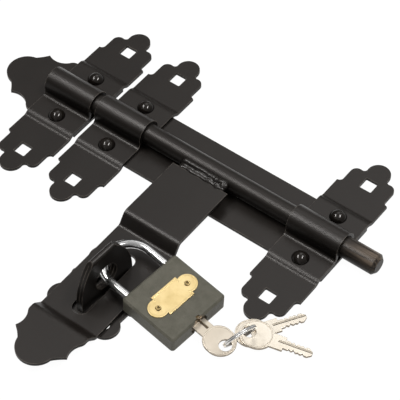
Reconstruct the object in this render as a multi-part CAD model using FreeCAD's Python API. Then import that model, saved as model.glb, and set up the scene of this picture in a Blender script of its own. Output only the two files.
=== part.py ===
import FreeCAD
import Part
import math
import os

Vec = FreeCAD.Vector
os.makedirs("parts", exist_ok=True)

# Sheet and rod
sheet = 2.0
bendRadius = 2.6
rodDiameter = 13.0
rodPlay = 0.2
rodProud = 23.1
rodBeyond = 15.5
rodChamfer = 2.0
rodRadius = rodDiameter / 2
axisHeight = sheet + rodPlay + rodRadius

# Main plate and the three straps
plateWidth = 46.8
plateCorner = 1.0
strapWidth = 35.2
strapPitch = 142.4
plateLength = strapPitch + strapWidth
keeperGap = 4.2
keeperCentre = -strapPitch / 2 - strapWidth - keeperGap
rodLeft = keeperCentre - rodBeyond
rodRight = plateLength / 2 + rodProud
tunnelRadius = rodRadius + rodPlay
joggleStart = plateWidth / 2 + 1.1
joggleRun = 3.0
joggleRadius = 3.0
boltHoleSpacing = 100.0
boltHoleSize = 8.2
boltHoleCorner = 0.6

# Ornate strap end, measured from the strap centre
shoulderY = 43.0
earHalf = 14.9
earCentreY = 53.2
earRadius = 4.3
tipCentreY = 60.5
tipRadius = 7.3
notchRadius = 2.1

# Dome rivets
rivetY = 18.6
rivetShank = 5.0
rivetHead = 10.5
rivetRise = 3.8

# Finial shared by the keeper plate and the arm
cuspHalf = 18.5
neckHalf = 17.1
finialRadius = 12.1
finialCentre = 3.7
finialFlare = (14.7, 3.0)
keeperReach = 37.5
keeperCusp = keeperCentre - keeperReach
keeperShoulder = 18.5
armCusp = -152.8
armShoulder = 14.0

# Hasp arm
armWidth = 40.0
armCentre = -6.4
armRodGap = 4.4
armLower = sheet + 0.3
armUpper = 9.6
rampTop = -55.2
rampBottom = -60.6
liftStart = -131.0
liftEnd = -136.6
liftRise = 5.2
slotWidth = 10.4
slotNear = -74.5
slotFar = -124.5
weldFit = 0.06
weldSeat = 130.0
weldRuns = 2
weldBulge = 0.22
weldDrops = ((-1.5, -0.5, 1.9), (2.2, -0.3, 2.2), (6.4, -0.6, 2.4))
weldLeft = -22.6
weldRight = 10.4

# Staple
stapleX = -4.2
stapleY = -102.2
stapleTurn = -3.0
stapleHalfX = 21.0
stapleHalfY = 20.5
earOffsetX = 16.6
earOffsetY = 17.0
stapleEar = 8.4
stapleNib = 3.2
nibReach = 20.8
screwHole = 5.0
eyeX = -0.6
eyeY = 1.6
eyeSeam = 0.2
eyeThick = 2 * sheet + eyeSeam
eyeHalf = 20.6
eyeTop = 35.3
eyeFlat = 8.5
eyeWaist = (16.8, 24.0)
eyeFoot = 6.0
eyeHole = 17.0
eyeHoleZ = 15.4
tenonLength = 9.0
tenonOffset = 12.5

# Padlock, with its own axes: X to the key side, Y across the legs, Z out of the front face
lockX = 35.2
lockY = -88.8
lockZ = 8.5
lockCentre = Vec(lockX, lockY, lockZ)
lockTurn = FreeCAD.Rotation(-6.0, 5.0, 1.2)
lockLength = 39.4
lockWidth = 42.0
lockDepth = 12.0
lockCorner = 2.0
lockChamfer = 1.2
shackleDiameter = 5.3
shacklePitch = 30.0
shackleStraight = 14.6
legFit = 0.1
shortLeg = 12.0
longLeg = 20.0
labelX = -0.8
labelRise = 0.7
labelRim = 1.0
labelSunk = 0.25
labelLength = 19.0
labelHeight = 15.0
labelPin = 11.4
labelEnd = 6.0
pinDiameter = 3.2
pinHole = 1.7
pinRise = 0.5

# Lock plug, wafers, latch
plugDiameter = 9.0
plugLength = 18.5
collarDiameter = 12.0
collarDepth = 2.4
plugProud = -1.2
plugFit = 0.06
driveDiameter = 6.0
crankRadius = 1.6
crankPin = 2.0
wafers = 4
waferPitch = 2.6
waferInset = 12.7
waferFirst = lockLength / 2 - waferInset
waferThick = 0.8
waferWidth = 5.0
latchThrow = 2.26
latchLength = 3.6
latchDepth = 5.2
latchX = -11.2
latchFit = 0.1
latchTail = 4.6

# Keys and ring, with the key's own origin at the bow centre and the blade along -X
keyThick = 1.6
bowDiameter = 18.0
bowStretch = 0.75
neckWidth = 9.0
bladeWidth = 5.6
bladeFit = 0.1
bladeEnd = 32.4
keyHole = 7.6
keyHoleX = 4.4
keyGap = 0.5
keyReach = 15.2
neckEnd = keyReach - plugProud - 0.2
ringRadius = 10.0
ringWire = 0.55
ringLean = 66.0
ringStepX = 4.36
ringStepY = 14.49
ringDrop = 1.07
spareHeadings = (59.0, 15.0)
spareHeight = 2.85
spareTilt = 2.8


def vec(point):
    return Vec(point[0], point[1], 0)


def line(a, b):
    return Part.LineSegment(vec(a), vec(b)).toShape()


def arc(a, b, c):
    return Part.Arc(vec(a), vec(b), vec(c)).toShape()


def polar(centre, radius, degrees):
    angle = math.radians(degrees)
    return (centre[0] + radius * math.cos(angle), centre[1] + radius * math.sin(angle))


def sweep(centre, radius, start, end):
    middle = (start + end) / 2
    return arc(polar(centre, radius, start), polar(centre, radius, middle), polar(centre, radius, end))


def face(edges):
    return Part.Face(Part.Wire(Part.__sortEdges__(edges)))


def mirrored(edges, normal):
    return edges + [edge.mirror(Vec(0, 0, 0), normal) for edge in edges]


def prism(outline, bottom, top):
    solid = outline.extrude(Vec(0, 0, top - bottom))
    solid.translate(Vec(0, 0, bottom))
    return solid


def box(x0, x1, y0, y1, z0, z1):
    return Part.makeBox(x1 - x0, y1 - y0, z1 - z0, Vec(x0, y0, z0))


def drill(diameter, x, y, bottom, top):
    return Part.makeCylinder(diameter / 2, top - bottom, Vec(x, y, bottom))


def along(diameter, start, end, y=0, z=0):
    return Part.makeCylinder(diameter / 2, end - start, Vec(start, y, z), Vec(1, 0, 0))


def group(solids):
    return Part.Compound(solids)


# Bent sheet: a line along the lower face, given thickness and rounded bends
def offset_path(points, thickness):
    moved = []
    count = len(points)
    for i in range(count):
        here = vec(points[i])
        before = (here - vec(points[i - 1])).normalize() if i > 0 else None
        after = (vec(points[i + 1]) - here).normalize() if i < count - 1 else None
        before = before or after
        after = after or before
        normal = Vec(-before.y - after.y, before.x + after.x, 0).normalize()
        scale = thickness / normal.dot(Vec(-before.y, before.x, 0))
        moved.append((here.x + normal.x * scale, here.y + normal.y * scale))
    return moved


def turn_side(a, b, c):
    return (b[0] - a[0]) * (c[1] - b[1]) - (b[1] - a[1]) * (c[0] - b[0])


def rounded_path(points, radii):
    edges = []
    here = vec(points[0])
    for i in range(1, len(points) - 1):
        corner = vec(points[i])
        back = (vec(points[i - 1]) - corner).normalize()
        ahead = (vec(points[i + 1]) - corner).normalize()
        half = back.getAngle(ahead) / 2
        reach = radii[i - 1] / math.tan(half)
        inward = (back + ahead).normalize()
        start = corner + back * reach
        middle = corner + inward * (radii[i - 1] / math.sin(half) - radii[i - 1])
        end = corner + ahead * reach
        if (start - here).Length > 1e-6:
            edges.append(Part.LineSegment(here, start).toShape())
        edges.append(Part.Arc(start, middle, end).toShape())
        here = end
    edges.append(Part.LineSegment(here, vec(points[-1])).toShape())
    return edges


def bent_sheet(points, radii, width):
    upper = offset_path(points, sheet)
    low, high = [], []
    for i in range(1, len(points) - 1):
        left = turn_side(points[i - 1], points[i], points[i + 1]) > 0
        low.append(radii[i - 1] + sheet if left else radii[i - 1])
        high.append(radii[i - 1] if left else radii[i - 1] + sheet)
    edges = rounded_path(points, low) + rounded_path(upper, high)
    edges += [line(points[0], upper[0]), line(points[-1], upper[-1])]
    solid = face(edges).extrude(Vec(0, 0, width))
    solid.rotate(Vec(0, 0, 0), Vec(1, 1, 1), 120)
    solid.translate(Vec(-width / 2, 0, 0))
    return solid


# Straps
def strap_outline():
    tip = (0, tipCentreY)
    ear = (earHalf - earRadius, earCentreY)
    a = tipRadius + notchRadius
    b = earRadius + notchRadius
    dx, dy = ear[0] - tip[0], ear[1] - tip[1]
    reach = math.hypot(dx, dy)
    run = (a * a - b * b + reach * reach) / (2 * reach)
    rise = math.sqrt(a * a - run * run)
    notch = (tip[0] + (run * dx - rise * dy) / reach, tip[1] + (run * dy + rise * dx) / reach)
    tipAngle = math.degrees(math.atan2(notch[1] - tip[1], notch[0] - tip[0]))
    earAngle = math.degrees(math.atan2(notch[1] - ear[1], notch[0] - ear[0]))
    cove = strapWidth / 2 - earHalf
    quarter = [
        sweep(tip, tipRadius, 90, tipAngle),
        sweep(notch, notchRadius, tipAngle + 180, earAngle + 180),
        sweep(ear, earRadius, earAngle, 0),
        line((earHalf, earCentreY), (earHalf, shoulderY + cove)),
        sweep((strapWidth / 2, shoulderY + cove), cove, 180, 270),
        line((strapWidth / 2, shoulderY), (strapWidth / 2, 0)),
    ]
    half = mirrored(quarter, Vec(1, 0, 0))
    return face(mirrored(half, Vec(0, 1, 0)))


def square_hole(y):
    half = boltHoleSize / 2
    hole = box(-half, half, y - half, y + half, -1, sheet + 1)
    uprights = [e for e in hole.Edges if abs(e.Vertexes[0].Z - e.Vertexes[1].Z) > sheet]
    return hole.makeFillet(boltHoleCorner, uprights)


def strap(x):
    end = tipCentreY + tipRadius + 1
    crown = axisHeight + tunnelRadius
    rising = [(-end, 0), (-joggleStart - joggleRun, 0), (-joggleStart, sheet), (-tunnelRadius, sheet)]
    rising.append((-tunnelRadius, crown))
    points = rising + [(-y, z) for y, z in reversed(rising)]
    radii = [joggleRadius, joggleRadius, bendRadius, tunnelRadius]
    solid = bent_sheet(points, radii + radii[::-1], strapWidth + 2)
    solid = solid.common(prism(strap_outline(), -1, crown + sheet + 1))
    for side in (-1, 1):
        solid = solid.cut(square_hole(side * boltHoleSpacing / 2))
        solid = solid.cut(drill(rivetShank, 0, side * rivetY, 0, 3 * sheet))
    solid.translate(Vec(x, 0, 0))
    return solid


def rivet(x, y):
    top = 2 * sheet
    head = rivetHead / 2
    slope = (head * head - rivetRise * rivetRise) / (2 * rivetRise)
    ball = math.hypot(head, slope)
    side = (ball * math.sin(math.radians(40)), top - slope + ball * math.cos(math.radians(40)))
    edges = [
        line((0, 0), (rivetShank / 2, 0)),
        line((rivetShank / 2, 0), (rivetShank / 2, top)),
        line((rivetShank / 2, top), (head, top)),
        arc((head, top), side, (0, top + rivetRise)),
        line((0, top + rivetRise), (0, 0)),
    ]
    solid = face(edges).revolve(Vec(0, 0, 0), Vec(0, 1, 0), 360)
    solid.rotate(Vec(0, 0, 0), Vec(1, 0, 0), 90)
    solid.translate(Vec(x, y, 0))
    return solid


def rivet_pair(x):
    return [rivet(x, -rivetY), rivet(x, rivetY)]


def rivet_holes(solid, x):
    for side in (-1, 1):
        solid = solid.cut(drill(rivetShank, x, side * rivetY, -1, sheet + 1))
    return solid


def main_plate():
    half = plateLength / 2
    solid = box(-half, half, -plateWidth / 2, plateWidth / 2, 0, sheet)
    uprights = [e for e in solid.Edges if abs(e.Vertexes[0].Z - e.Vertexes[1].Z) > 1]
    solid = solid.makeFillet(plateCorner, uprights)
    for side in (-1, 1):
        solid = rivet_holes(solid, side * strapPitch / 2)
    return solid


# Finial: half width to one side of the axis, length up the axis, cusp at zero
def finial_half(shoulderHalf, shoulderLength, root):
    start = polar((0, finialCentre), finialRadius, 10)
    bend = (neckHalf + 0.58 * (shoulderHalf - neckHalf), -0.76 * shoulderLength)
    ease = (neckHalf + 0.89 * (shoulderHalf - neckHalf), -0.87 * shoulderLength)
    return [
        sweep((0, finialCentre), finialRadius, 90, 10),
        arc(start, finialFlare, (cuspHalf, 0)),
        arc((cuspHalf, 0), (neckHalf, -0.36 * shoulderLength), bend),
        arc(bend, ease, (shoulderHalf, -shoulderLength)),
        line((shoulderHalf, -shoulderLength), (shoulderHalf, -root)),
        line((shoulderHalf, -root), (0, -root)),
    ]


def keeper_plate():
    root = keeperCentre + strapWidth / 2 - keeperCusp
    half = finial_half(plateWidth / 2, keeperShoulder, root)
    solid = prism(face(mirrored(half, Vec(1, 0, 0))), 0, sheet)
    solid.rotate(Vec(0, 0, 0), Vec(0, 0, 1), 90)
    solid.translate(Vec(keeperCusp, 0, 0))
    return rivet_holes(solid, keeperCentre)


def bolt_rod():
    solid = along(rodDiameter, rodLeft, rodRight, 0, axisHeight)
    ends = [e for e in solid.Edges if e.Closed]
    return solid.makeChamfer(rodChamfer, ends)


# Hasp arm: joggled down to the staple, raised again at the tip
def hasp_arm():
    root = -rodRadius - armRodGap
    tip = armCusp - finialCentre - finialRadius - 1
    path = [(tip, armLower + liftRise), (liftEnd, armLower + liftRise), (liftStart, armLower)]
    path += [(rampBottom, armLower), (rampTop, armUpper), (root, armUpper)]
    solid = bent_sheet(path, [bendRadius] * 4, armWidth + 4)
    half = finial_half(armWidth / 2, armShoulder, root - armCusp)
    outline = prism(face(mirrored(half, Vec(1, 0, 0))), 0, axisHeight + rodRadius)
    outline.rotate(Vec(0, 0, 0), Vec(0, 0, 1), 180)
    outline.translate(Vec(0, armCusp, 0))
    solid = solid.common(outline)
    radius = slotWidth / 2
    near, far = slotNear - radius, slotFar + radius
    edges = [sweep((0, near), radius, 0, 180), sweep((0, far), radius, 180, 360)]
    edges += [line((radius, far), (radius, near)), line((-radius, far), (-radius, near))]
    solid = solid.cut(prism(face(edges), 0, armUpper))
    solid.translate(Vec(armCentre, 0, 0))
    return solid


# Weld bead: two runs along the rod and a few heavier drops at one end
def hasp_weld():
    root = -rodRadius - armRodGap
    toe = vec((root, armUpper + sheet - 0.4))
    seat = vec(polar((0, axisHeight), rodRadius, weldSeat))
    heel = vec((root, armUpper + 0.4))
    inner = vec((seat.x, heel.y))
    edges = [line(toe, heel), line(heel, inner), line(inner, seat)]
    for index in range(weldRuns):
        start = toe + (seat - toe) * (index / weldRuns)
        end = toe + (seat - toe) * ((index + 1) / weldRuns)
        crest = (start + end) * 0.5 + Vec(start.y - end.y, end.x - start.x, 0) * weldBulge
        edges.append(arc(start, crest, end))
    solid = face(edges).extrude(Vec(0, 0, weldRight - weldLeft))
    solid.rotate(Vec(0, 0, 0), Vec(1, 1, 1), 120)
    solid.translate(Vec(weldLeft, 0, 0))
    middle = toe + (seat - toe) * 0.4
    for x, lift, radius in weldDrops:
        solid = solid.fuse(Part.makeSphere(radius, Vec(x, middle.x, middle.y + lift)))
    rodSpace = along(rodDiameter + 2 * weldFit, weldLeft - 1, weldRight + 1, 0, axisHeight)
    armSpace = box(weldLeft - 5, weldRight + 5, root - 9, root, 0, axisHeight + rodRadius)
    return solid.cut(rodSpace).cut(armSpace)


# Staple
def tenon(side, bottom, top):
    near = eyeY + side * tenonOffset - tenonLength / 2
    half = eyeThick / 2
    return box(eyeX - half, eyeX + half, near, near + tenonLength, bottom, top)


def staple_plate():
    solid = box(-stapleHalfX, stapleHalfX, -stapleHalfY, stapleHalfY, 0, sheet)
    for sx in (-1, 1):
        solid = solid.fuse(drill(2 * stapleNib, sx * nibReach, 0, 0, sheet))
        for sy in (-1, 1):
            solid = solid.fuse(drill(2 * stapleEar, sx * earOffsetX, sy * earOffsetY, 0, sheet))
    solid = solid.removeSplitter()
    for sx in (-1, 1):
        for sy in (-1, 1):
            solid = solid.cut(drill(screwHole, sx * earOffsetX, sy * earOffsetY, -1, sheet + 1))
    for sy in (-1, 1):
        solid = solid.cut(tenon(sy, -1, sheet + 1))
    solid.rotate(Vec(0, 0, 0), Vec(0, 0, 1), stapleTurn)
    solid.translate(Vec(stapleX, stapleY, 0))
    return solid


# Eye: one sheet folded double over its flat top, with the seam open below the fold
def staple_eye():
    side = [
        line((0, eyeTop), (eyeFlat, eyeTop)),
        arc((eyeFlat, eyeTop), eyeWaist, (eyeHalf, eyeFoot)),
        line((eyeHalf, eyeFoot), (eyeHalf, sheet)),
        line((eyeHalf, sheet), (0, sheet)),
    ]
    half = eyeThick / 2
    solid = prism(face(mirrored(side, Vec(1, 0, 0))), -half, half).removeSplitter()
    solid.rotate(Vec(0, 0, 0), Vec(1, 1, 1), 120)
    folds = [e for e in solid.Edges if e.BoundBox.ZMin > eyeTop - 0.01 and e.BoundBox.YLength > eyeFlat]
    solid = solid.makeFillet(half - eyeSeam / 4, folds)
    seam = box(-eyeSeam / 2, eyeSeam / 2, -eyeHalf - 1, eyeHalf + 1, sheet, eyeTop - sheet)
    solid = solid.cut(seam)
    solid.translate(Vec(eyeX, eyeY, 0))
    for sy in (-1, 1):
        solid = solid.fuse(tenon(sy, 0, sheet))
    solid = solid.cut(along(eyeHole, eyeX - eyeThick, eyeX + eyeThick, eyeY, eyeHoleZ))
    solid.rotate(Vec(0, 0, 0), Vec(0, 0, 1), stapleTurn)
    solid.translate(Vec(stapleX, stapleY, 0))
    return solid


# Padlock, built on its own axes and then laid in place
def lay_lock(solid):
    solid.Placement = FreeCAD.Placement(lockCentre, lockTurn).multiply(solid.Placement)
    return solid


def shackle():
    top = -lockLength / 2
    half = shacklePitch / 2
    crown = top - shackleStraight
    path = [
        Part.LineSegment(Vec(top + shortLeg, -half, 0), Vec(crown, -half, 0)).toShape(),
        Part.Arc(Vec(crown, -half, 0), Vec(crown - half, 0, 0), Vec(crown, half, 0)).toShape(),
        Part.LineSegment(Vec(crown, half, 0), Vec(top + longLeg, half, 0)).toShape(),
    ]
    start = Part.Circle(Vec(top + shortLeg, -half, 0), Vec(1, 0, 0), shackleDiameter / 2).toShape()
    solid = Part.Wire(path).makePipeShell([Part.Wire(start)], True, False)
    tips = [e for e in solid.Edges if e.Closed and e.BoundBox.XMin > top + 1]
    solid = solid.makeChamfer(0.6, tips)
    gap = latchFit * 1.5
    inner = -half + shackleDiameter / 2
    notch = box(latchX - latchLength / 2 - gap, latchX + latchLength / 2 + gap,
                inner - latchThrow - gap, inner + 1, -shackleDiameter, shackleDiameter)
    return solid.cut(notch)


def latch_tip():
    return -shacklePitch / 2 + shackleDiameter / 2 + legFit


def lock_body():
    x, y, z = lockLength / 2, lockWidth / 2, lockDepth / 2
    solid = box(-x, x, -y, y, -z, z)
    corners = [e for e in solid.Edges if abs(e.Vertexes[0].Z - e.Vertexes[1].Z) > 1]
    solid = solid.makeFillet(lockCorner, corners)
    rims = [e for e in solid.Edges if abs(abs(e.BoundBox.Center.z) - z) < 1e-3]
    solid = solid.makeChamfer(lockChamfer, rims)
    legBore = shackleDiameter + 2 * legFit
    solid = solid.cut(along(legBore, -x - 1, -x + shortLeg + 1, -shacklePitch / 2))
    solid = solid.cut(along(legBore, -x - 1, -x + longLeg + 1, shacklePitch / 2))
    solid = solid.cut(along(collarDiameter + 0.2, x - collarDepth, x + 1))
    solid = solid.cut(along(plugDiameter + 2 * plugFit, x - plugLength - plugFit, x + 1))
    driveEnd = latchX + latchLength / 2 + latchFit
    solid = solid.cut(along(driveDiameter + 2 * plugFit, driveEnd - 1, x - plugLength))
    groove = box(waferFirst - 1, x - 2, -waferWidth / 2 - 0.1, waferWidth / 2 + 0.1, -z + 0.7, z - 0.7)
    solid = solid.cut(groove)
    half = latchDepth / 2 + latchFit
    run = latchLength / 2 + latchFit
    reach = latch_tip() - latchThrow - latchFit
    channel = box(latchX - run, latchX + run, reach, latchTail + latchFit, -half, half)
    return solid.cut(channel)


def label_outline(inset, bottom, top):
    half = labelLength / 2 - inset
    high = labelHeight / 2 - inset
    solid = box(labelX - high, labelX + high, -half, half, bottom, top)
    for side in (-1, 1):
        solid = solid.fuse(drill(2 * (labelEnd - inset), labelX, side * labelPin, bottom, top))
    return solid.removeSplitter()


def label_plate():
    solid = label_outline(0, 0, labelRise)
    solid = solid.cut(label_outline(labelRim, labelRise - labelSunk, labelRise + 1))
    for side in (-1, 1):
        solid = solid.cut(drill(pinDiameter, labelX, side * labelPin, -1, labelRise + 1))
    solid.translate(Vec(0, 0, lockDepth / 2))
    return solid


# Tube rivets that hold the label
def label_pins():
    pins = []
    bottom = lockDepth / 2
    top = bottom + labelRise + pinRise
    for side in (-1, 1):
        pin = drill(pinDiameter, labelX, side * labelPin, bottom, top)
        pin = pin.makeChamfer(0.3, [e for e in pin.Edges if e.BoundBox.ZMin > top - 0.01])
        pins.append(pin.cut(drill(pinHole, labelX, side * labelPin, bottom + 0.2, top + 1)))
    return group(pins)


def wafer_slot(index, gap):
    x = waferFirst + index * waferPitch
    half = waferThick / 2 + gap
    wide = waferWidth / 2 + gap
    return box(x - half, x + half, -plugDiameter, plugDiameter, -wide, wide)


def crank_at(radius, start, end):
    angle = math.radians(45)
    return along(2 * radius, start, end, crankRadius * math.cos(angle), crankRadius * math.sin(angle))


def lock_plug():
    x = lockLength / 2
    driveEnd = latchX + latchLength / 2 + latchFit
    solid = along(plugDiameter, x - plugLength, x + plugProud)
    solid = solid.fuse(along(collarDiameter, x - collarDepth + plugFit, x + plugProud))
    solid = solid.fuse(along(driveDiameter, driveEnd, x - plugLength))
    solid = solid.fuse(crank_at(crankPin / 2, driveEnd - latchLength + 0.6, driveEnd + 1))
    for index in range(wafers):
        inside = along(plugDiameter, waferFirst - 2, x - collarDepth)
        solid = solid.cut(wafer_slot(index, 0.05).common(inside))
    wide = bladeWidth / 2 + bladeFit
    high = keyThick / 2 + bladeFit
    depth = x + keyReach - bladeEnd - 0.4
    return solid.cut(box(depth, x + 2, -wide, wide, -high, high))


def wafer_set():
    solids = []
    wide = bladeWidth / 2 + bladeFit
    high = keyThick / 2 + bladeFit
    for index in range(wafers):
        inside = along(plugDiameter - 0.1, waferFirst - 2, lockLength / 2)
        solid = wafer_slot(index, 0).common(inside)
        solids.append(solid.cut(box(0, lockLength, -wide, wide, -high, high)))
    return group(solids)


def latch():
    tip = latch_tip()
    run = latchLength / 2
    half = latchDepth / 2
    solid = box(latchX - run, latchX + run, tip, latchTail, -half, half)
    slope = [(tip - 1, half - 2), (tip + 1.6, half + 1), (tip - 1, half + 1)]
    wedge = face([line(slope[i], slope[i - 1]) for i in range(3)]).extrude(Vec(0, 0, lockLength))
    wedge.rotate(Vec(0, 0, 0), Vec(1, 1, 1), 120)
    wedge.translate(Vec(-lockLength, 0, 0))
    solid = solid.cut(wedge)
    middle = crankRadius * math.cos(math.radians(45))
    reach = crankPin / 2 + 0.12
    slot = box(latchX - run + 0.3, latchX + run + 1, middle - reach, middle + reach, -0.2, half + 1)
    return solid.cut(slot)


# Keys: oval bow with a hole, broad neck, narrow blade with cuts
def key_blank():
    bowRadius = bowDiameter / 2
    solid = drill(bowDiameter, -bowStretch, 0, 0, keyThick)
    solid = solid.fuse(drill(bowDiameter, bowStretch, 0, 0, keyThick))
    solid = solid.fuse(box(-bowStretch, bowStretch, -bowRadius, bowRadius, 0, keyThick))
    half = neckWidth / 2
    solid = solid.fuse(box(-neckEnd, 0, -half, half, 0, keyThick))
    wide = bladeWidth / 2
    tip = [(-neckEnd + 1, wide), (-bladeEnd + 2.4, wide), (-bladeEnd, 0.9), (-bladeEnd, -0.9)]
    tip += [(-bladeEnd + 2.4, -wide), (-neckEnd + 1, -wide)]
    blade = prism(face([line(tip[i - 1], tip[i]) for i in range(len(tip))]), 0, keyThick)
    solid = solid.fuse(blade).removeSplitter()
    for index, depth in enumerate((0.7, 1.2, 0.5, 1.0)):
        x = -neckEnd - 3.4 - index * waferPitch
        for side in (-1, 1):
            rim = side * (wide + 0.1)
            cut = [(x - 1.1, rim), (x, side * (wide - depth)), (x + 1.1, rim)]
            solid = solid.cut(prism(face([line(cut[i - 1], cut[i]) for i in range(3)]), -1, keyThick + 1))
    return solid.cut(drill(keyHole, keyHoleX, 0, -1, keyThick + 1))


def inserted_key():
    solid = key_blank()
    solid.translate(Vec(lockLength / 2 + keyReach, 0, -keyThick / 2))
    return solid


# Ring: two wire turns side by side, standing through the key holes
def ring_frame():
    start = FreeCAD.Placement(lockCentre, lockTurn).multVec(Vec(lockLength / 2 + keyReach + keyHoleX, 0, 0))
    chord = Vec(ringStepX, ringStepY, -ringDrop)
    across = Vec(chord).normalize()
    lean = Vec(math.cos(math.radians(ringLean)), 0, math.sin(math.radians(ringLean)))
    up = (lean - across * lean.dot(across)).normalize()
    rise = math.sqrt(ringRadius ** 2 - (chord.Length / 2) ** 2)
    return start + chord * 0.5 + up * rise, across, up


def ring_point(height):
    centre, across, up = ring_frame()
    swing = math.acos((height - centre.z) / ringRadius / math.hypot(across.z, up.z))
    angle = math.atan2(up.z, across.z) - swing
    return centre + (across * math.cos(angle) + up * math.sin(angle)) * ringRadius


def key_ring():
    centre, across, up = ring_frame()
    waist = ringWire * 0.4
    shift = ringWire * math.sqrt(1 - 0.4 ** 2)
    edges = []
    for side in (-1, 1):
        ends = (ringRadius - waist, 0), (ringRadius + waist, 0)
        edges.append(arc(ends[0], (ringRadius, side * (shift + ringWire)), ends[1]))
    solid = face(edges).revolve(Vec(0, 0, 0), Vec(0, 1, 0), 360)
    solid.rotate(Vec(0, 0, 0), Vec(1, 0, 0), 90)
    stand = FreeCAD.Placement(centre, FreeCAD.Rotation(Vec(0, 0, 1), across.cross(up)))
    solid.Placement = stand.multiply(solid.Placement)
    return solid


def spare_key(index):
    eye = ring_point(spareHeight + index * (keyThick + keyGap))
    solid = key_blank()
    solid.translate(Vec(-keyHoleX, 0, -keyThick / 2))
    solid.rotate(Vec(0, 0, 0), Vec(0, 1, 0), -spareTilt)
    solid.rotate(Vec(0, 0, 0), Vec(0, 0, 1), spareHeadings[index] + 180)
    solid.translate(eye)
    return solid


pieces = {
    "main_plate": main_plate(),
    "guide_strap_left": strap(-strapPitch / 2),
    "guide_strap_right": strap(strapPitch / 2),
    "guide_rivets": group(rivet_pair(-strapPitch / 2) + rivet_pair(strapPitch / 2)),
    "keeper_plate": keeper_plate(),
    "keeper_strap": strap(keeperCentre),
    "keeper_rivets": group(rivet_pair(keeperCentre)),
    "bolt_rod": bolt_rod(),
    "hasp_arm": hasp_arm(),
    "hasp_weld": hasp_weld(),
    "staple_plate": staple_plate(),
    "staple_eye": staple_eye(),
    "padlock_shackle": lay_lock(shackle()),
    "padlock_body": lay_lock(lock_body()),
    "label_plate": lay_lock(label_plate()),
    "label_pins": lay_lock(label_pins()),
    "lock_plug": lay_lock(lock_plug()),
    "wafers": lay_lock(wafer_set()),
    "latch": lay_lock(latch()),
    "inserted_key": lay_lock(inserted_key()),
    "key_ring": key_ring(),
    "spare_key_lower": spare_key(0),
    "spare_key_upper": spare_key(1),
}

for name, shape in pieces.items():
    shape.exportStep("parts/" + name + ".step")
    print(name, shape.isValid(), len(shape.Solids), shape.BoundBox)
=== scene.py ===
import math
import bpy
import bmesh
from mathutils import Matrix, Vector, noise


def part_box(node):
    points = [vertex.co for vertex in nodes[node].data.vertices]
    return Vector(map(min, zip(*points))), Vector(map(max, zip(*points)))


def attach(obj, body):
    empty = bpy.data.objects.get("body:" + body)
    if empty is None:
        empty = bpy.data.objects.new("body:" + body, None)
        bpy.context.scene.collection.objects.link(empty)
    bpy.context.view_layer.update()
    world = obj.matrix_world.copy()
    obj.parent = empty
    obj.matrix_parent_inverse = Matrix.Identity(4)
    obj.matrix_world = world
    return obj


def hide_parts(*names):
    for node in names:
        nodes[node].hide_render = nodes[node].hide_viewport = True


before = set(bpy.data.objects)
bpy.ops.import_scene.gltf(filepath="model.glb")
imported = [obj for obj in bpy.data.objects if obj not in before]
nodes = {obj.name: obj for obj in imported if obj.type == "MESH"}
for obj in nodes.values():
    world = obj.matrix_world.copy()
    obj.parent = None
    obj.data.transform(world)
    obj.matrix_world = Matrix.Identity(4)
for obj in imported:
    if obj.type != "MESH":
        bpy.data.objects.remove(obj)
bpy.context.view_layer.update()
scene = bpy.context.scene
scene.view_settings.view_transform = "Standard"
print("frame loaded:", len(nodes), "nodes")


# Small helpers for shader trees
def addNode(tree, kind, values=None, **settings):
    node = tree.nodes.new(kind)
    for name, value in settings.items():
        setattr(node, name, value)
    for name, value in (values or {}).items():
        node.inputs[name].default_value = value
    return node


def startGroup(name, inputs, outputs):
    tree = bpy.data.node_groups.new(name, "ShaderNodeTree")
    for label, kind, value in inputs:
        socket = tree.interface.new_socket(label, in_out="INPUT", socket_type="NodeSocket" + kind)
        socket.default_value = value
    for label, kind in outputs:
        tree.interface.new_socket(label, in_out="OUTPUT", socket_type="NodeSocket" + kind)
    return tree, tree.nodes.new("NodeGroupInput"), tree.nodes.new("NodeGroupOutput")


def useGroup(tree, group, values):
    return addNode(tree, "ShaderNodeGroup", values, node_tree=group)


# Rounded edges, and a mask of edges rubbed bare that also paints a light edge highlight
rubHighlightLook = {
    "radius": 0.0005, "samples": 6, "reach": 3.0,
    "patchScale": 180.0, "patchDetail": 3.0, "patchRough": 0.6, "patchFrom": 0.3, "patchTo": 0.6,
}


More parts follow.
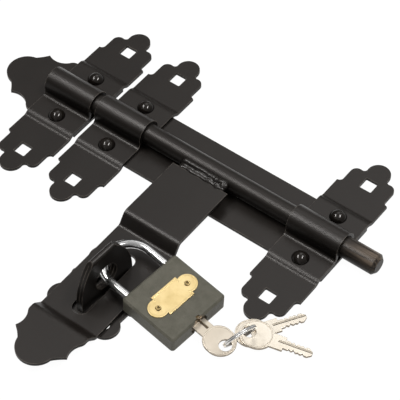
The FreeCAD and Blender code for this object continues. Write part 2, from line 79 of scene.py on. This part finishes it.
def buildEdgeRubHighlight():
    tree, given, result = startGroup(
        "edgeRubHighlight",
        [("Radius", "Float", rubHighlightLook["radius"]), ("Reach", "Float", rubHighlightLook["reach"]),
         ("Patch Scale", "Float", rubHighlightLook["patchScale"])],
        [("RubHighlight", "Float"), ("Normal", "Vector")])
    link = tree.links.new
    rounded = addNode(tree, "ShaderNodeBevel", samples=rubHighlightLook["samples"])
    surface = addNode(tree, "ShaderNodeNewGeometry")
    facing = addNode(tree, "ShaderNodeVectorMath", operation="DOT_PRODUCT")
    turned = addNode(tree, "ShaderNodeMath", {0: 1.0}, operation="SUBTRACT")
    reach = addNode(tree, "ShaderNodeMath", operation="MULTIPLY", use_clamp=True)
    place = addNode(tree, "ShaderNodeTexCoord")
    patch = addNode(tree, "ShaderNodeTexNoise",
                    {"Detail": rubHighlightLook["patchDetail"], "Roughness": rubHighlightLook["patchRough"]})
    patches = addNode(tree, "ShaderNodeMapRange",
                      {"From Min": rubHighlightLook["patchFrom"], "From Max": rubHighlightLook["patchTo"]})
    rub = addNode(tree, "ShaderNodeMath", operation="MULTIPLY", use_clamp=True)
    link(given.outputs["Radius"], rounded.inputs["Radius"])
    link(rounded.outputs["Normal"], facing.inputs[0])
    link(surface.outputs["Normal"], facing.inputs[1])
    link(facing.outputs["Value"], turned.inputs[1])
    link(turned.outputs[0], reach.inputs[0])
    link(given.outputs["Reach"], reach.inputs[1])
    link(place.outputs["Object"], patch.inputs["Vector"])
    link(given.outputs["Patch Scale"], patch.inputs["Scale"])
    link(patch.outputs["Fac"], patches.inputs["Value"])
    link(reach.outputs[0], rub.inputs[0])
    link(patches.outputs["Result"], rub.inputs[1])
    link(rub.outputs[0], result.inputs["RubHighlight"])
    link(rounded.outputs["Normal"], result.inputs["Normal"])
    return tree


# Fine grain of a sprayed or stoved coat: a slow drift of tone and a pebbled height
grainLook = {
    "scale": 1400.0, "detail": 2.0, "rough": 0.5,
    "driftScale": 30.0, "driftDetail": 4.0, "driftRough": 0.55,
}


def buildCoatGrain():
    tree, given, result = startGroup(
        "coatGrain",
        [("Grain Scale", "Float", grainLook["scale"]), ("Drift Scale", "Float", grainLook["driftScale"])],
        [("Drift", "Float"), ("Height", "Float")])
    link = tree.links.new
    place = addNode(tree, "ShaderNodeTexCoord")
    drift = addNode(tree, "ShaderNodeTexNoise",
                    {"Detail": grainLook["driftDetail"], "Roughness": grainLook["driftRough"]})
    grain = addNode(tree, "ShaderNodeTexNoise",
                    {"Detail": grainLook["detail"], "Roughness": grainLook["rough"]})
    for texture, scale in ((drift, "Drift Scale"), (grain, "Grain Scale")):
        link(place.outputs["Object"], texture.inputs["Vector"])
        link(given.outputs[scale], texture.inputs["Scale"])
    link(drift.outputs["Fac"], result.inputs["Drift"])
    link(grain.outputs["Fac"], result.inputs["Height"])
    return tree


# Drawn or polished metal: streaks stretched along one axis of the object, and cloudy tarnish
streakLook = {
    "stretch": (40.0, 1200.0, 1200.0), "detail": 2.0,
    "tarnishScale": 160.0, "tarnishDetail": 5.0, "tarnishRough": 0.62,
}


def buildMetalStreak():
    tree, given, result = startGroup(
        "metalStreak",
        [("Stretch", "Vector", streakLook["stretch"]), ("Tarnish Scale", "Float", streakLook["tarnishScale"])],
        [("Streak", "Float"), ("Tarnish", "Float")])
    link = tree.links.new
    place = addNode(tree, "ShaderNodeTexCoord")
    stretch = addNode(tree, "ShaderNodeVectorMath", operation="MULTIPLY")
    streak = addNode(tree, "ShaderNodeTexNoise", {"Scale": 1.0, "Detail": streakLook["detail"]})
    tarnish = addNode(tree, "ShaderNodeTexNoise",
                      {"Detail": streakLook["tarnishDetail"], "Roughness": streakLook["tarnishRough"]})
    link(place.outputs["Object"], stretch.inputs[0])
    link(given.outputs["Stretch"], stretch.inputs[1])
    link(stretch.outputs["Vector"], streak.inputs["Vector"])
    link(place.outputs["Object"], tarnish.inputs["Vector"])
    link(given.outputs["Tarnish Scale"], tarnish.inputs["Scale"])
    link(streak.outputs["Fac"], result.inputs["Streak"])
    link(tarnish.outputs["Fac"], result.inputs["Tarnish"])
    return tree


# Painted shade: upright walls are darkened and hold less lacquer than the faces that lie flat
wallLook = {"wall": 0.4, "upright": 0.35, "flat": 0.85}


def buildWallShade():
    tree, given, result = startGroup("wallShade", [("Wall", "Float", wallLook["wall"])], [("Shade", "Float")])
    link = tree.links.new
    place = addNode(tree, "ShaderNodeTexCoord")
    split = addNode(tree, "ShaderNodeSeparateXYZ")
    level = addNode(tree, "ShaderNodeMath", operation="ABSOLUTE")
    shade = addNode(tree, "ShaderNodeMapRange", {"From Min": wallLook["upright"], "From Max": wallLook["flat"]})
    link(place.outputs["Normal"], split.inputs[0])
    link(split.outputs["Z"], level.inputs[0])
    link(level.outputs[0], shade.inputs["Value"])
    link(given.outputs["Wall"], shade.inputs["To Min"])
    link(shade.outputs["Result"], result.inputs["Shade"])
    return tree


# Milled groove down a key's blade, as a mask that starts some way from the bow's centre
grooveLook = {"offset": 0.0008, "start": 0.0125, "floorHalf": 0.0004, "rimHalf": 0.0008}


def buildKeyGroove():
    tree, given, result = startGroup(
        "keyGroove",
        [("Centre", "Vector", (0.0, 0.0, 0.0)), ("Axis", "Vector", (1.0, 0.0, 0.0)),
         ("Side", "Vector", (0.0, 1.0, 0.0)),
         ("Offset", "Float", grooveLook["offset"]), ("Start", "Float", grooveLook["start"])],
        [("Groove", "Float")])
    link = tree.links.new
    place = addNode(tree, "ShaderNodeTexCoord")
    local = addNode(tree, "ShaderNodeVectorMath", operation="SUBTRACT")
    along = addNode(tree, "ShaderNodeVectorMath", operation="DOT_PRODUCT")
    across = addNode(tree, "ShaderNodeVectorMath", operation="DOT_PRODUCT")
    offLine = addNode(tree, "ShaderNodeMath", operation="SUBTRACT")
    gap = addNode(tree, "ShaderNodeMath", operation="ABSOLUTE")
    line = addNode(tree, "ShaderNodeMapRange",
                   {"From Min": grooveLook["floorHalf"], "From Max": grooveLook["rimHalf"],
                    "To Min": 1.0, "To Max": 0.0})
    blade = addNode(tree, "ShaderNodeMath", operation="GREATER_THAN")
    groove = addNode(tree, "ShaderNodeMath", operation="MULTIPLY")
    link(place.outputs["Object"], local.inputs[0])
    link(given.outputs["Centre"], local.inputs[1])
    for dot, axis in ((along, "Axis"), (across, "Side")):
        link(local.outputs["Vector"], dot.inputs[0])
        link(given.outputs[axis], dot.inputs[1])
    link(across.outputs["Value"], offLine.inputs[0])
    link(given.outputs["Offset"], offLine.inputs[1])
    link(offLine.outputs[0], gap.inputs[0])
    link(gap.outputs[0], line.inputs["Value"])
    link(along.outputs["Value"], blade.inputs[0])
    link(given.outputs["Start"], blade.inputs[1])
    link(line.outputs["Result"], groove.inputs[0])
    link(blade.outputs[0], groove.inputs[1])
    link(groove.outputs[0], result.inputs["Groove"])
    return tree


edgeRubHighlight = buildEdgeRubHighlight()
coatGrain = buildCoatGrain()
metalStreak = buildMetalStreak()
wallShade = buildWallShade()
keyGroove = buildKeyGroove()
print("shared finishes ready")

noiseSpan = (0.3, 0.7)  # most of a noise texture's values lie between these


def startMaterial(name):
    material = bpy.data.materials.new(name)
    material.use_nodes = True
    tree = material.node_tree
    return material, tree, tree.nodes["Principled BSDF"]


def mixColour(tree, factor, first, second):
    mix = addNode(tree, "ShaderNodeMix", data_type="RGBA")
    ends = [s for s in mix.inputs if s.type == "RGBA"]
    tree.links.new(factor, mix.inputs[0])
    for socket, value in zip(ends, (first, second)):
        if isinstance(value, tuple):
            socket.default_value = value
        else:
            tree.links.new(value, socket)
    return next(s for s in mix.outputs if s.type == "RGBA")


def spread(tree, value, low, high, span=noiseSpan):
    ranged = addNode(tree, "ShaderNodeMapRange",
                     {"From Min": span[0], "From Max": span[1], "To Min": low, "To Max": high})
    tree.links.new(value, ranged.inputs["Value"])
    return ranged.outputs["Result"]


def reliefNormal(tree, height, under, strength, depth):
    bump = addNode(tree, "ShaderNodeBump", {"Strength": strength, "Distance": depth})
    tree.links.new(height, bump.inputs["Height"])
    tree.links.new(under, bump.inputs["Normal"])
    return bump.outputs["Normal"]


# Mask of a bare end: it fades in along X and breaks up into streaks
def wornMask(tree, look):
    place = addNode(tree, "ShaderNodeTexCoord")
    split = addNode(tree, "ShaderNodeSeparateXYZ")
    worn = addNode(tree, "ShaderNodeMath", operation="MULTIPLY")
    streak = useGroup(tree, metalStreak, {"Stretch": look["wornStretch"]}).outputs["Streak"]
    tree.links.new(place.outputs["Object"], split.inputs[0])
    tree.links.new(spread(tree, split.outputs["X"], 0.0, 1.0, look["wornEnd"]), worn.inputs[0])
    tree.links.new(spread(tree, streak, *look["wornShare"], look["wornSpan"]), worn.inputs[1])
    return worn.outputs[0]


def coatMaterial(name, look):
    material, tree, shader = startMaterial(name)
    link = tree.links.new
    grain = useGroup(tree, coatGrain, {"Grain Scale": look["grainScale"], "Drift Scale": look["driftScale"]})
    edge = useGroup(tree, edgeRubHighlight, {"Radius": look["edgeRadius"], "Reach": look["rubHighlightReach"]})
    drift = grain.outputs["Drift"]
    colour = mixColour(tree, spread(tree, drift, 0.0, 1.0), look["dark"], look["light"])
    if "wornEnd" in look:
        colour = mixColour(tree, wornMask(tree, look), colour, look["worn"])
    if look["wall"] < 1:
        # Painted shade: upright walls are darkened towards a deep colour and lose some lacquer
        shade = useGroup(tree, wallShade, {"Wall": look["wall"]}).outputs["Shade"]
        colour = mixColour(tree, shade, look["paintedWallShade"], colour)
        if look["lacquer"] > 0:
            lacquer = addNode(tree, "ShaderNodeMath", {1: look["lacquer"]}, operation="MULTIPLY")
            link(shade, lacquer.inputs[0])
            link(lacquer.outputs[0], shader.inputs["Coat Weight"])
    else:
        shader.inputs["Coat Weight"].default_value = look["lacquer"]
    # Edges lightened: partly wear, partly a painted highlight
    if look["rubHighlightReach"] > 0:
        colour = mixColour(tree, edge.outputs["RubHighlight"], colour, look["rubbedEdgeHighlight"])
    link(colour, shader.inputs["Base Color"])
    link(spread(tree, drift, *look["gloss"]), shader.inputs["Roughness"])
    relief = reliefNormal(tree, grain.outputs["Height"], edge.outputs["Normal"],
                          look["grainStrength"], look["grainDepth"])
    link(relief, shader.inputs["Normal"])
    shader.inputs["Coat Roughness"].default_value = look["lacquerRough"]
    shader.inputs["Specular IOR Level"].default_value = look["specular"]
    shader.inputs["Specular Tint"].default_value = look["sheen"]
    return material


def metalMaterial(name, look):
    material, tree, shader = startMaterial(name)
    link = tree.links.new
    streak = useGroup(tree, metalStreak, {"Stretch": look["stretch"], "Tarnish Scale": look["tarnishScale"]})
    edge = useGroup(tree, edgeRubHighlight, {"Radius": look["edgeRadius"], "Reach": look["rubHighlightReach"]})
    cloud = spread(tree, streak.outputs["Tarnish"], 0.0, 1.0, look["tarnishSpan"])
    toned = mixColour(tree, cloud, look["bright"], look["dull"])
    # Edges brightened: partly wear, partly a painted highlight
    toned = mixColour(tree, edge.outputs["RubHighlight"], toned, look["bright"])
    under = edge.outputs["Normal"]
    # Painted shade: upright walls are darkened towards a darker tone
    if "paintedWallTone" in look:
        shade = useGroup(tree, wallShade, {"Wall": 0.0}).outputs["Shade"]
        toned = mixColour(tree, shade, look["paintedWallTone"], toned)
    if "milled" in look:
        milled = useGroup(tree, keyGroove, look["milled"]).outputs["Groove"]
        under = reliefNormal(tree, milled, under, look["grooveStrength"], look["grooveDepth"])
        # Painted shade: the milled groove is darkened
        toned = mixColour(tree, milled, toned, look["groove"])
    link(toned, shader.inputs["Base Color"])
    link(spread(tree, streak.outputs["Streak"], *look["gloss"]), shader.inputs["Roughness"])
    relief = reliefNormal(tree, streak.outputs["Streak"], under, look["streakStrength"], look["streakDepth"])
    link(relief, shader.inputs["Normal"])
    shader.inputs["Metallic"].default_value = 1.0
    return material


def dress(material, *names):
    for name in names:
        slots = nodes[name].data.materials
        slots.clear()
        slots.append(material)


# Satin black powder coat on all the sheet metal, with a painted shade on upright walls and worn edges that also
# paint a light edge highlight
blackCoat = {
    "dark": (0.0092, 0.0072, 0.0058, 1), "light": (0.0124, 0.0099, 0.0081, 1),
    "paintedWallShade": (0.001, 0.0008, 0.0006, 1), "rubbedEdgeHighlight": (0.2, 0.172, 0.144, 1),
    "sheen": (1.0, 0.85, 0.74, 1), "specular": 0.12, "gloss": (0.34, 0.42),
    "wall": 0.2, "lacquer": 0.66, "lacquerRough": 0.38,
    "grainScale": 1100.0, "driftScale": 28.0, "grainStrength": 0.035, "grainDepth": 0.0002,
    "edgeRadius": 0.0008, "rubHighlightReach": 3.0,
}
dress(coatMaterial("satinBlackCoat", blackCoat), "main_plate", "guide_strap_left", "guide_strap_right",
      "keeper_plate", "keeper_strap", "hasp_arm", "staple_plate", "staple_eye")

# Rivet heads came out of the die smooth; their sloping rims get a stronger painted shade
rivetCoat = dict(blackCoat, gloss=(0.14, 0.2), grainStrength=0.03, rubHighlightReach=0.2,
                 lacquer=0.7, lacquerRough=0.14, wall=0.1)
dress(coatMaterial("rivetCoat", rivetCoat), "guide_rivets", "keeper_rivets")

# The rod's coat is thinner, and brown where it slides out of the last strap
rodCoat = dict(blackCoat, light=(0.016, 0.0136, 0.0115, 1), rubbedEdgeHighlight=(0.08, 0.066, 0.05, 1),
               grainStrength=0.05, lacquer=0.5, worn=(0.15, 0.114, 0.084, 1), wornEnd=(0.088, 0.112),
               wornStretch=(40.0, 700.0, 700.0), wornShare=(0.05, 1.1), wornSpan=(0.36, 0.64))
dress(coatMaterial("rodCoat", rodCoat), "bolt_rod")

# Grey-green enamel of the padlock case, with a faint painted shade on upright walls and worn edges that also
# paint a light edge highlight
lockEnamel = {
    "dark": (0.084, 0.08, 0.061, 1), "light": (0.116, 0.11, 0.086, 1),
    "paintedWallShade": (0.05, 0.047, 0.038, 1), "rubbedEdgeHighlight": (0.2, 0.19, 0.16, 1),
    "sheen": (1.0, 0.97, 0.92, 1), "specular": 0.3, "gloss": (0.48, 0.6),
    "wall": 0.9, "lacquer": 0.0, "lacquerRough": 0.3,
    "grainScale": 900.0, "driftScale": 240.0, "grainStrength": 0.6, "grainDepth": 0.0006,
    "edgeRadius": 0.0005, "rubHighlightReach": 2.0,
}
dress(coatMaterial("lockEnamel", lockEnamel), "padlock_body")

# Pale brass label, on which the other metals are based
labelBrass = {
    "bright": (0.94, 0.745, 0.385, 1), "dull": (0.74, 0.55, 0.24, 1), "gloss": (0.36, 0.44),
    "stretch": (500.0, 120.0, 500.0), "streakStrength": 0.03, "streakDepth": 0.0002,
    "tarnishScale": 110.0, "tarnishSpan": (0.35, 0.75), "edgeRadius": 0.0003, "rubHighlightReach": 2.0,
}
dress(metalMaterial("labelBrass", labelBrass), "label_plate")

# Tube rivets of the label, in darker brass, with a painted shade down their walls
pinBrass = dict(labelBrass, bright=(0.62, 0.46, 0.21, 1), dull=(0.44, 0.32, 0.13, 1), gloss=(0.3, 0.4),
                paintedWallTone=(0.1, 0.065, 0.025, 1))
dress(metalMaterial("pinBrass", pinBrass), "label_pins")

# Plug brass darkened as a painted shade of its recess; chrome shackle; bright ring
plugBrassPaintedShade = dict(labelBrass, bright=(0.12, 0.085, 0.045, 1), dull=(0.06, 0.042, 0.022, 1), gloss=(0.34, 0.46))
dress(metalMaterial("plugBrassPaintedShade", plugBrassPaintedShade), "lock_plug", "wafers")
shackleChrome = dict(labelBrass, bright=(0.74, 0.735, 0.73, 1), dull=(0.64, 0.635, 0.63, 1), gloss=(0.2, 0.26),
                     stretch=(60.0, 900.0, 900.0))
dress(metalMaterial("shackleChrome", shackleChrome), "padlock_shackle")
ringWire = dict(labelBrass, bright=(0.7, 0.69, 0.67, 1), dull=(0.56, 0.55, 0.53, 1), gloss=(0.3, 0.38),
                streakStrength=0.005)
dress(metalMaterial("ringWire", ringWire), "key_ring")

# Nickel of the keys, with a painted shade on the punched edges
keyNickel = dict(labelBrass, bright=(0.83, 0.75, 0.64, 1), dull=(0.74, 0.66, 0.54, 1),
                 stretch=(240.0, 240.0, 240.0), tarnishScale=90.0, paintedWallTone=(0.3, 0.255, 0.2, 1),
                 grooveStrength=0.8, grooveDepth=-0.0005)
dress(metalMaterial("keyNickel", keyNickel), "latch")

# Each key's bow centre, the way its blade points and the way across it
keyPlaces = {
    "inserted_key": {"Centre": (0.06978, -0.09243, 0.00546), "Axis": (-0.9907, 0.1041, 0.0872),
                     "Side": (0.1063, 0.9941, 0.0209), "Start": 0.0098, "Offset": 0.0012},
    "spare_key_lower": {"Centre": (0.07981, -0.07594, 0.00264), "Axis": (0.5144, 0.8561, -0.0488),
                        "Side": (-0.8572, 0.515, 0.0)},
    "spare_key_upper": {"Centre": (0.0834, -0.07654, 0.00474), "Axis": (0.9648, 0.2585, -0.0488),
                        "Side": (-0.2588, 0.9659, 0.0)},
}

# The inserted key gets darker nickel and a darker groove, a painted shade from the padlock; the two spares stay
# brighter
unshadedNickel = {"bright": (0.95, 0.87, 0.75, 1), "dull": (0.85, 0.77, 0.64, 1), "groove": (0.58, 0.51, 0.41, 1)}
paintedShadeNickel = {"bright": (0.75, 0.67, 0.56, 1), "dull": (0.66, 0.58, 0.47, 1), "groove": (0.16, 0.12, 0.08, 1)}
keyTones = {"inserted_key": paintedShadeNickel, "spare_key_lower": unshadedNickel, "spare_key_upper": unshadedNickel}
for keyName, place in keyPlaces.items():
    milledKey = dict(keyNickel, milled=place, **keyTones[keyName])
    dress(metalMaterial("keyNickel." + keyName, milledKey), keyName)
print("nodes dressed")


def placePiece(name, shape, material):
    mesh = bpy.data.meshes.new(name)
    shape.to_mesh(mesh)
    shape.free()
    mesh.materials.append(material)
    piece = bpy.data.objects.new(name, mesh)
    scene.collection.objects.link(piece)
    return piece


def smoothFaces(shape):
    for face in shape.faces:
        face.smooth = True


# Raised rim round the faces of each key's bow; the upper spare lies too close on the lower one for two
rimLook = {
    "inner": 0.00825, "outer": 0.00895, "rise": 0.0002, "sink": 0.0003, "half": 0.0008,
    "softShare": 0.25, "softDrop": 0.4, "segments": 72, "merge": 1e-6, "gloss": (0.5, 0.6),
}
rimBodies = {"inserted_key": "plug", "spare_key_lower": "spare_lower", "spare_key_upper": "spare_upper"}
rimFaces = {"inserted_key": (-1, 1), "spare_key_lower": (-1, 1), "spare_key_upper": (1,)}


def raiseRim(keyName, material):
    place = keyPlaces[keyName]
    axis, side = Vector(place["Axis"]), Vector(place["Side"])
    up = axis.cross(side).normalized()
    turn = Matrix((axis, side, up)).transposed().to_4x4()
    stand = Matrix.Translation(place["Centre"]) @ turn
    inner, outer = rimLook["inner"], rimLook["outer"]
    low, high = rimLook["half"] - rimLook["sink"], rimLook["half"] + rimLook["rise"]
    soft = (outer - inner) * rimLook["softShare"]
    shoulder = high - soft * rimLook["softDrop"]
    shape = bmesh.new()
    for face in rimFaces[keyName]:
        corners = [(inner, low), (inner, shoulder), (inner + soft, high),
                   (outer - soft, high), (outer, shoulder), (outer, low)]
        outline = [shape.verts.new((reach, 0, face * height)) for reach, height in corners]
        edges = [shape.edges.new((outline[i - 1], outline[i])) for i in range(len(outline))]
        bmesh.ops.spin(shape, geom=outline + edges, cent=(0, 0, 0), axis=(0, 0, 1), angle=math.tau,
                       steps=rimLook["segments"], use_merge=True)
    bmesh.ops.remove_doubles(shape, verts=shape.verts, dist=rimLook["merge"])
    bmesh.ops.recalc_face_normals(shape, faces=shape.faces)
    bmesh.ops.transform(shape, matrix=stand, verts=shape.verts)
    smoothFaces(shape)
    rim = placePiece("bowRim." + keyName, shape, material)
    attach(rim, rimBodies[keyName])


rimNickel = metalMaterial("rimNickel", dict(keyNickel, gloss=rimLook["gloss"]))
for keyName in keyPlaces:
    raiseRim(keyName, rimNickel)
print("key rims raised")


# Weld between rod and arm: two rippled runs over a sunk one, swelling into thick drops at one end.
# toe and seat are Y and Z on the arm and on the rod; a run is share of the way between them, radius
# and sink; a drop is X, share and radius
weldLook = {
    "toe": (-0.0103, 0.0110), "seat": (-0.0052, 0.0131), "endGap": 0.0004,
    "steps": 96, "sides": 14, "endSize": 0.5, "endGrowth": 0.12, "swell": 0.35,
    "ripple": 0.0042, "rippleDepth": 0.04, "rough": 0.14, "roughScale": 170, "roughLane": 9,
    "wander": 0.0007, "wanderScale": 190, "wanderLane": 7, "wanderSeeds": (3, 8),
    "runs": ((0.10, 0.00125, 0.0), (0.80, 0.0012, 0.0), (0.44, 0.0017, 0.0012)),
    "drops": ((-0.0016, 0.12, 0.0020), (0.0026, 0.60, 0.0021), (0.0052, 0.10, 0.0022), (0.0084, 0.55, 0.0023)),
    "dropLevels": 3, "dropRough": 0.3, "dropScale": 520,
}
weldCoat = dict(blackCoat, gloss=(0.4, 0.5), grainScale=700.0, grainStrength=0.01,
                lacquer=1.0, lacquerRough=0.36, wall=1.0, edgeRadius=0.00002, rubHighlightReach=0.0)


def weldSpot(share):
    toe, seat = Vector(weldLook["toe"]), Vector(weldLook["seat"])
    return toe.lerp(seat, share)


def layRun(shape, left, right, share, radius, sink):
    spot = weldSpot(share) - Vector((0, sink))
    turn = Matrix.Rotation(math.radians(90), 4, "Y")
    start = Matrix.Translation((left, spot.x, spot.y)) @ turn
    size = weldLook["endSize"]
    ring = bmesh.ops.create_circle(shape, cap_ends=True, segments=weldLook["sides"], radius=radius * size,
                                   matrix=start)["verts"]
    edges = list(dict.fromkeys(edge for vert in ring for edge in vert.link_edges))
    steps = weldLook["steps"]
    step = (right - left) / steps
    for index in range(1, steps + 1):
        x = left + step * index
        grown = bmesh.ops.extrude_edge_only(shape, edges=edges)["geom"]
        ring = [part for part in grown if isinstance(part, bmesh.types.BMVert)]
        edges = [part for part in grown if isinstance(part, bmesh.types.BMEdge)]
        wave = abs(math.sin(math.pi * x / weldLook["ripple"]))
        ends = min(1.0, weldLook["endSize"] + min(index, steps - index) * weldLook["endGrowth"])
        bump = noise.noise(Vector((x * weldLook["roughScale"], share * weldLook["roughLane"], 0)))
        swell = weldLook["swell"] * index / steps
        wanted = ends * (1 + wave * weldLook["rippleDepth"] + bump * weldLook["rough"] + swell)
        centre = sum((v.co for v in ring), Vector()) / len(ring)
        bmesh.ops.scale(shape, vec=Vector((1, 1, 1)) * (wanted / size), verts=ring,
                        space=Matrix.Translation(-centre))
        path, lane = x * weldLook["wanderScale"], share * weldLook["wanderLane"]
        sway = [noise.noise(Vector((path, lane, seed))) * weldLook["wander"] for seed in weldLook["wanderSeeds"]]
        target = Vector((x, spot.x + sway[0], spot.y + sway[1]))
        bmesh.ops.translate(shape, vec=target - centre, verts=ring)
        size = wanted
    bmesh.ops.contextual_create(shape, geom=edges)


def layDrop(shape, x, share, radius):
    spot = weldSpot(share)
    centre = Vector((x, spot.x, spot.y))
    ball = bmesh.ops.create_icosphere(shape, subdivisions=weldLook["dropLevels"], radius=radius,
                                      matrix=Matrix.Translation(centre))["verts"]
    for vert in ball:
        push = noise.noise(vert.co * weldLook["dropScale"]) * weldLook["dropRough"]
        vert.co = centre + (vert.co - centre) * (1 + push)


def layWeld():
    low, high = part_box("hasp_weld")
    shape = bmesh.new()
    for run in weldLook["runs"]:
        layRun(shape, low.x + weldLook["endGap"], high.x - weldLook["endGap"], *run)
    for drop in weldLook["drops"]:
        layDrop(shape, *drop)
    bmesh.ops.recalc_face_normals(shape, faces=shape.faces)
    smoothFaces(shape)
    bead = placePiece("weldBead", shape, coatMaterial("weldCoat", weldCoat))
    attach(bead, "hasp")
    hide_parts("hasp_weld")


layWeld()
print("weld laid")


# Pale floor: white to the eye and in what metal reflects, with a light trace of the shadow
floorLook = {"size": 12.0, "drop": 0.0002, "pale": (0.62, 0.62, 0.61, 1), "glow": 1.08, "shadowShare": 0.1}


def layFloor():
    shape = bmesh.new()
    bmesh.ops.create_grid(shape, x_segments=1, y_segments=1, size=floorLook["size"] / 2)
    bmesh.ops.translate(shape, verts=shape.verts, vec=(0, 0, -floorLook["drop"]))
    material = bpy.data.materials.new("paleFloor")
    material.use_nodes = True
    tree = material.node_tree
    tree.nodes.clear()
    link = tree.links.new
    matt = addNode(tree, "ShaderNodeBsdfDiffuse", {"Color": floorLook["pale"]})
    white = addNode(tree, "ShaderNodeEmission", {"Color": (1, 1, 1, 1), "Strength": floorLook["glow"]})
    path = addNode(tree, "ShaderNodeLightPath")
    clear = addNode(tree, "ShaderNodeMath", operation="MAXIMUM")
    seen = addNode(tree, "ShaderNodeMath", operation="MAXIMUM")
    share = addNode(tree, "ShaderNodeMath", {1: 1 - floorLook["shadowShare"]}, operation="MULTIPLY")
    mix = addNode(tree, "ShaderNodeMixShader")
    out = addNode(tree, "ShaderNodeOutputMaterial")
    link(path.outputs["Is Glossy Ray"], clear.inputs[0])
    link(path.outputs["Is Transmission Ray"], clear.inputs[1])
    link(path.outputs["Is Camera Ray"], seen.inputs[0])
    link(clear.outputs[0], seen.inputs[1])
    link(seen.outputs[0], share.inputs[0])
    link(share.outputs[0], mix.inputs[0])
    link(matt.outputs[0], mix.inputs[1])
    link(white.outputs[0], mix.inputs[2])
    link(mix.outputs[0], out.inputs["Surface"])
    floor = placePiece("floor", shape, material)


# Studio sky: its bright end leans to the right; each pair is closeness to that end and shade
skyLook = {
    "lean": (0.75, 0.1, 0.65), "strength": 1.0,
    "shades": ((0.0, 0.07), (0.13, 0.31), (0.24, 0.38), (0.32, 0.85), (0.46, 0.4), (1.0, 0.25)),
}


def lightSky():
    world = bpy.data.worlds.new("studio")
    scene.world = world
    world.use_nodes = True
    tree = world.node_tree
    tree.nodes.clear()
    link = tree.links.new
    place = addNode(tree, "ShaderNodeTexCoord")
    lean = addNode(tree, "ShaderNodeVectorMath", {1: skyLook["lean"]}, operation="DOT_PRODUCT")
    ramp = addNode(tree, "ShaderNodeValToRGB")
    stops = ramp.color_ramp.elements
    firstStops = len(stops)
    for index, (height, shade) in enumerate(skyLook["shades"]):
        stop = stops[index] if index < firstStops else stops.new(height)
        stop.position = height
        stop.color = (shade, shade, shade, 1)
    back = addNode(tree, "ShaderNodeBackground", {"Strength": skyLook["strength"]})
    out = addNode(tree, "ShaderNodeOutputWorld")
    link(place.outputs["Generated"], lean.inputs[0])
    link(lean.outputs["Value"], ramp.inputs["Fac"])
    link(ramp.outputs["Color"], back.inputs["Color"])
    link(back.outputs[0], out.inputs["Surface"])


# Soft boxes, each seen from the middle of the part
softBoxes = {
    "leftBox": {"towards": (-0.40, -0.18, 0.90), "away": 1.6, "size": (0.9, 0.2), "power": 11.0},
    "rightBox": {"towards": (0.40, 0.18, 0.90), "away": 1.6, "size": (0.9, 0.2), "power": 13.0},
    "rearBox": {"towards": (-0.22, 0.55, 0.80), "away": 1.6, "size": (0.6, 0.6), "power": 1.1},
}
lampAim = Vector((0, -0.05, 0))


def hangLamps():
    for name, box in softBoxes.items():
        lamp = bpy.data.lights.new(name, "AREA")
        lamp.shape = "RECTANGLE"
        lamp.size, lamp.size_y = box["size"]
        lamp.energy = box["power"]
        holder = bpy.data.objects.new(name, lamp)
        scene.collection.objects.link(holder)
        towards = Vector(box["towards"]).normalized()
        holder.location = lampAim + towards * box["away"]
        holder.rotation_euler = (-towards).to_track_quat("-Z", "Y").to_euler()
        holder.visible_camera = False


# Camera at the photograph's place
cameraLook = {
    "spot": (0.41593, -0.52987, 0.81005), "aim": (-0.00234, -0.01661, 0.0), "roll": -1.93,
    "lens": 160.9, "sensor": 36, "clipStart": 0.01,
}


def setCamera():
    lens = bpy.data.cameras.new("camera")
    lens.sensor_width = cameraLook["sensor"]
    lens.lens = cameraLook["lens"]
    lens.clip_start = cameraLook["clipStart"]
    camera = bpy.data.objects.new("camera", lens)
    scene.collection.objects.link(camera)
    spot, aim = Vector(cameraLook["spot"]), Vector(cameraLook["aim"])
    turn = (aim - spot).to_track_quat("-Z", "Y").to_matrix().to_4x4()
    roll = Matrix.Rotation(math.radians(cameraLook["roll"]), 4, "Z")
    camera.matrix_world = Matrix.Translation(spot) @ turn @ roll
    scene.camera = camera


layFloor()
lightSky()
hangLamps()
setCamera()
print("studio set")
